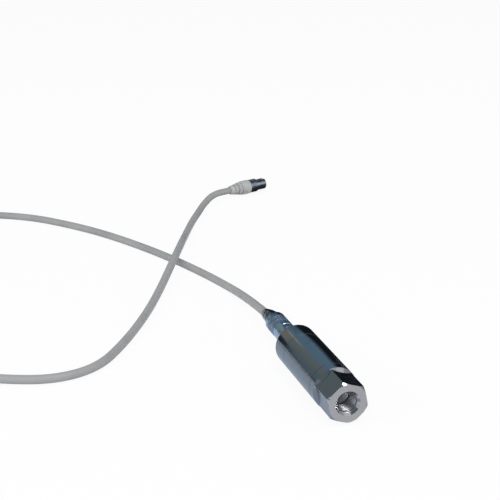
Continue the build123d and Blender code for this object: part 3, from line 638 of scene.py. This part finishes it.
finishes["tie_fabric"] = strap_cloth(
    "tie_fabric", colour=(0.012, 0.012, 0.014, 1.0), thread=(0.05, 0.05, 0.055, 1.0)
)
finishes["sealing_glass"] = fused_glass("sealing_glass", (0.3, 0.48, 0.5, 1.0))
for piece in cad_node.values():
    for place in piece.material_slots:
        place.material = finishes[place.material.name.split(".")[0]]
lead.data.materials.append(finishes["lead_jacket"])


# Thread in the port, a piece that only the looks have

THREAD_TURNS = 8.6
THREAD_STEPS = 64
THREAD_ROOT = PORT_RADIUS + 0.00002
THREAD_CREST = PORT_RADIUS - 0.00042


def mesh_piece(name, points, faces, material):
    mesh = bpy.data.meshes.new(name)
    mesh.from_pydata(points, [], faces)
    mesh.materials.append(material)
    piece = bpy.data.objects.new(name, mesh)
    scene.collection.objects.link(piece)
    return piece


def port_thread(finish):
    half = THREAD_PITCH / 2
    section = (
        (THREAD_ROOT, 0.2 * half),
        (THREAD_CREST, 0.86 * half),
        (THREAD_CREST, 1.14 * half),
        (THREAD_ROOT, 1.8 * half),
    )
    sides = len(section)
    count = int(THREAD_TURNS * THREAD_STEPS)
    points = []
    for step in range(count + 1):
        angle = 2 * pi * step / THREAD_STEPS
        fade = min(1.0, step / THREAD_STEPS, (count - step) / THREAD_STEPS)
        start = PORT_MOUTH_X - THREAD_PITCH * (0.9 + step / THREAD_STEPS)
        for radius, shift in section:
            kept = THREAD_ROOT + (radius - THREAD_ROOT) * fade
            y = kept * cos(angle)
            z = BODY_AXIS_Z + kept * sin(angle)
            points.append((start + shift, y, z))
    faces = []
    for step in range(count):
        for side in range(sides):
            first = sides * step + side
            beside = sides * step + (side + 1) % sides
            faces.append((first, beside, beside + sides, first + sides))
    faces.append(tuple(reversed(range(sides))))
    faces.append(tuple(sides * count + side for side in range(sides)))
    piece = mesh_piece("port_thread", points, faces, finishes[finish])
    piece.data.validate()
    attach(piece, "root")
    return piece


thread = port_thread("polished_steel")


# Studio materials

WHITE = (1.0, 1.0, 1.0, 1.0)
PAPER = (0.93, 0.93, 0.93, 1.0)
FLOOR_GLOW = 0.92
SKY_LIGHT = (0.5, 0.51, 0.52, 1.0)
WALL_FOOT = 0.15
WALL_FOOT_SHADE = (0.06, 0.072, 0.09, 1.0)


def seen_plainly(tree):
    path = put(tree, "ShaderNodeLightPath").outputs
    seen = figure(tree, "MAXIMUM", path["Is Camera Ray"], path["Is Glossy Ray"])
    return figure(tree, "MAXIMUM", seen, path["Is Transmission Ray"])


def bare_material(name):
    material = bpy.data.materials.new(name)
    material.use_nodes = True
    tree = material.node_tree
    tree.nodes.clear()
    glow = put(tree, "ShaderNodeEmission")
    out = put(tree, "ShaderNodeOutputMaterial")
    return material, tree, glow, out.inputs["Surface"]


def floor_material():
    material, tree, glow, surface = bare_material("studio_floor")
    paper = put(tree, "ShaderNodeBsdfDiffuse")
    paper.inputs["Color"].default_value = PAPER
    mixed = put(tree, "ShaderNodeMixShader")
    tree.links.new(figure(tree, "MULTIPLY", seen_plainly(tree), FLOOR_GLOW), mixed.inputs[0])
    tree.links.new(paper.outputs[0], mixed.inputs[1])
    tree.links.new(glow.outputs[0], mixed.inputs[2])
    tree.links.new(mixed.outputs[0], surface)
    return material


def plain_glow(name, colour):
    material, tree, glow, surface = bare_material(name)
    glow.inputs["Color"].default_value = colour
    tree.links.new(glow.outputs[0], surface)
    return material


# The stops are degrees round from straight behind the sensor, each with its colour
def banded_glow(name, stops):
    material, tree, glow, surface = bare_material(name)
    split = put(tree, "ShaderNodeSeparateXYZ")
    tree.links.new(surface_place(tree), split.inputs[0])
    x, y, z = split.outputs
    angle = figure(tree, "ARCTAN2", y, figure(tree, "MULTIPLY", x, -1.0))
    share = figure(tree, "MULTIPLY_ADD", angle, 1 / (2 * pi), 0.5)
    ramp = put(tree, "ShaderNodeValToRGB")
    tree.links.new(share, ramp.inputs["Fac"])
    places = ramp.color_ramp.elements
    places[0].position = 0.0
    places[0].color = stops[0][1]
    places[1].position = 1.0
    places[1].color = stops[-1][1]
    for degrees, colour in stops[1:-1]:
        places.new(0.5 + degrees / 360).color = colour
    lifted = rescale(tree, z, (0.0, WALL_FOOT))
    shown = blended(tree, lifted, WALL_FOOT_SHADE, ramp.outputs["Color"])
    tree.links.new(shown, glow.inputs["Color"])
    tree.links.new(glow.outputs[0], surface)
    return material


# Floor, and what only the metal mirrors

FLOOR_HALF = 7.0
FLOOR_Z = -0.0002
CARD_Z = 0.0004
WALL_SIDES = 96
WALL_RADIUS = 1.6
WALL_TOP = WALL_RADIUS * tan(radians(40))
FLAG_STEPS = 12
FLAG_RADIUS = 1.45
BODY_REACH = 0.18
NUT_REACH = 0.05


def stage_piece(name, points, faces, material):
    piece = mesh_piece(name, points, faces, material)
    return piece


def mirrored_piece(name, points, faces, material):
    piece = stage_piece(name, points, faces, material)
    piece.visible_camera = False
    piece.visible_diffuse = False
    piece.visible_transmission = False
    piece.visible_volume_scatter = False
    piece.visible_shadow = False
    return piece


def level_corners(x_range, y_range, z):
    (x0, x1), (y0, y1) = x_range, y_range
    return [(x0, y0, z), (x1, y0, z), (x1, y1, z), (x0, y1, z)]


def build_floor():
    reach = (-FLOOR_HALF, FLOOR_HALF)
    stage_piece("studio_floor", level_corners(reach, reach, FLOOR_Z), [(0, 1, 2, 3)], floor_material())


def build_wall(name, stops):
    points = []
    for step in range(WALL_SIDES):
        angle = 2 * pi * step / WALL_SIDES
        points.append((WALL_RADIUS * cos(angle), WALL_RADIUS * sin(angle), 0.0))
        points.append((WALL_RADIUS * cos(angle), WALL_RADIUS * sin(angle), WALL_TOP))
    faces = []
    for step in range(WALL_SIDES):
        first = 2 * step
        after = 2 * ((step + 1) % WALL_SIDES)
        faces.append((first, after, after + 1, first + 1))
    mirrored_piece(name, points, faces, banded_glow(name, stops))


def build_panel(name, colour, corners):
    return mirrored_piece(name, corners, [tuple(range(len(corners)))], plain_glow(name, colour))


def build_card(name, colour, x_range, y_range, z=CARD_Z):
    return build_panel(name, colour, level_corners(x_range, y_range, z))


# A mark is a place along the body and a lean from its top in degrees, where a corner shows mirrored
def build_mirrored_panel(name, colour, marks, radius, reach):
    corners = []
    for x, lean in marks:
        normal = Vector((0.0, sin(radians(lean)), cos(radians(lean))))
        spot = Vector((x, 0.0, BODY_AXIS_Z)) + radius * normal
        ray = (spot - CAMERA_PLACE).normalized()
        corners.append(spot + reach * (ray - 2 * ray.dot(normal) * normal))
    build_panel(name, colour, corners)


# A flag hangs between two turns round the sensor and two lifts from the floor, in degrees
def build_flag(name, colour, turns, lifts):
    points = []
    for step in range(FLAG_STEPS + 1):
        around = radians(turns[0] + (turns[1] - turns[0]) * step / FLAG_STEPS)
        for lift in lifts:
            level = FLAG_RADIUS * cos(radians(lift))
            height = FLAG_RADIUS * sin(radians(lift))
            points.append((-level * cos(around), level * sin(around), height))
    faces = [(2 * step, 2 * step + 1, 2 * step + 3, 2 * step + 2) for step in range(FLAG_STEPS)]
    mirrored_piece(name, points, faces, plain_glow(name, colour))


INK = (0.01, 0.014, 0.02, 1.0)
OLIVE = (0.22, 0.25, 0.225, 1.0)
BLUE = (0.17, 0.29, 0.38, 1.0)
DEEP_BLUE = (0.09, 0.15, 0.2, 1.0)
DUSK_BLUE = (0.14, 0.21, 0.26, 1.0)
SLATE = (0.2, 0.26, 0.29, 1.0)
GREY = (0.3, 0.31, 0.33, 1.0)
PALE = (0.7, 0.72, 0.75, 1.0)

wall_stops = [
    (-180, GREY),
    (-120, WHITE),
    (-75, GREY),
    (-32, DUSK_BLUE),
    (-22, OLIVE),
    (-11, SLATE),
    (-4, BLUE),
    (20, BLUE),
    (25, DEEP_BLUE),
    (29, INK),
    (62, INK),
    (80, GREY),
    (110, PALE),
    (180, GREY),
]
body_panels = {
    "dark_strip": (
        (0.015, 0.02, 0.03, 1.0),
        [(-0.016, -67), (-0.016, -50), (0.002, -54), (0.005, -58), (0.002, -62)],
    ),
    "warm_panel": (
        (0.33, 0.31, 0.24, 1.0),
        [(-0.017, -50), (-0.017, -33), (0.002, -33), (0.0, -48)],
    ),
    "pale_panel": (
        (0.42, 0.43, 0.41, 1.0),
        [(-0.017, -33), (-0.017, -26), (0.012, -28), (0.012, -31)],
    ),
    "ink_panel": (
        INK,
        [(-0.018, -8), (-0.018, 34), (0.05, 34), (0.04, 20), (0.017, 9), (0.0, -2)],
    ),
    "teal_panel": (
        (0.07, 0.17, 0.2, 1.0),
        [(-0.017, -20), (-0.017, -7), (0.001, -3), (-0.004, -18)],
    ),
}
gland_panels = {
    "nut_panel": (
        INK,
        [
            (-0.074, -38), (-0.074, -24), (-0.074, -10), (-0.074, 6), (-0.070, 20), (-0.065, 32),
            (-0.043, 32), (-0.0435, 20), (-0.0445, 6), (-0.046, -10), (-0.0475, -24), (-0.049, -38),
        ],
    ),
    "gland_panel": (
        (0.07, 0.1, 0.12, 1.0),
        [
            (-0.035, -25), (-0.035, -6), (-0.035, 12), (-0.035, 30),
            (-0.018, 30), (-0.018, 12), (-0.018, -6), (-0.018, -25),
        ],
    ),
}

build_floor()
build_wall("mirrored_wall", wall_stops)
build_card("dark_card", (0.02, 0.022, 0.026, 1.0), x_range=(-1.5, 0.06), y_range=(0.018, 0.7))
build_card("blue_card", (0.44, 0.52, 0.62, 1.0), x_range=(-1.5, 0.08), y_range=(-0.9, -0.006))
for name, (colour, marks) in body_panels.items():
    build_mirrored_panel(name, colour, marks, BODY_RADIUS, BODY_REACH)
for name, (colour, marks) in gland_panels.items():
    build_mirrored_panel(name, colour, marks, NUT_RADIUS, NUT_REACH)
build_panel(
    "boot_panel",
    INK,
    [(-0.1, 0.002, 0.0), (-0.1, 0.045, 0.0), (-0.1, 0.045, 0.036), (-0.1, 0.002, 0.036)],
)
# These two also shade the fitting from a lamp
fitting_cards = {
    "fitting_card_left": ((0.18, 0.22, 0.26, 1.0), (-0.016, -0.0045)),
    "fitting_card_right": ((0.72, 0.75, 0.8, 1.0), (-0.0045, 0.013)),
}
for name, (colour, y_range) in fitting_cards.items():
    card = build_card(name, colour, x_range=(0.05, 0.068), y_range=y_range, z=0.054)
    card.visible_shadow = True
build_panel(
    "bevel_panel",
    (0.3, 0.34, 0.38, 1.0),
    [(0.054, -0.048, 0.014), (0.072, -0.048, 0.014), (0.072, -0.048, 0.04), (0.054, -0.048, 0.04)],
)
build_flag("dark_flag", (0.2, 0.235, 0.25, 1.0), turns=(-178, -80), lifts=(16, 74))
build_flag("rear_flag", (0.04, 0.05, 0.06, 1.0), turns=(-80, 95), lifts=(38, 88))


# Light

MIDDLE = (0.0, 0.0, 0.0)
FRONT_END = (0.07, 0.0, 0.02)
PORT_MOUTH = (0.065, 0.0, 0.013)


def light_world():
    world = bpy.data.worlds.new("studio")
    scene.world = world
    world.use_nodes = True
    tree = world.node_tree
    shown = blended(tree, seen_plainly(tree), SKY_LIGHT, WHITE)
    tree.links.new(shown, tree.nodes["Background"].inputs["Color"])


def soft_lamp(name, place, aim, size, power, diffuse=True, glossy=True):
    light = bpy.data.lights.new(name, "AREA")
    light.shape = "RECTANGLE"
    light.size, light.size_y = size
    light.energy = power
    lamp = bpy.data.objects.new(name, light)
    scene.collection.objects.link(lamp)
    lamp.location = place
    lamp.rotation_mode = "QUATERNION"
    toward = Vector(aim) - Vector(place)
    lamp.rotation_quaternion = toward.to_track_quat("-Z", "Y")
    lamp.visible_diffuse = diffuse
    lamp.visible_glossy = glossy
    return lamp


light_world()
soft_lamp("front_lamp", (1.1, -0.5, 1.35), MIDDLE, size=(1.6, 1.2), power=9.0, glossy=False)
soft_lamp("top_lamp", (0.532, 0.074, 1.343), FRONT_END, size=(0.45, 0.45), power=3.0)
soft_lamp("right_lamp", (0.15, 1.4, 0.32), FRONT_END, size=(0.8, 0.3), power=2.3, glossy=False)
port_lamp = soft_lamp(
    "port_lamp", (1.0, 0.5, 0.95), PORT_MOUTH, size=(0.3, 0.3), power=10.0, diffuse=False
)
lit_by_port_lamp = bpy.data.collections.new("lit_by_port_lamp")
for piece in (cad_node["port_fitting"], thread):
    lit_by_port_lamp.objects.link(piece)
port_lamp.light_linking.receiver_collection = lit_by_port_lamp
soft_lamp("left_lamp", (0.1, -1.5, 1.2), MIDDLE, size=(1.0, 1.0), power=7.0, glossy=False)

scene.view_settings.view_transform = "Standard"
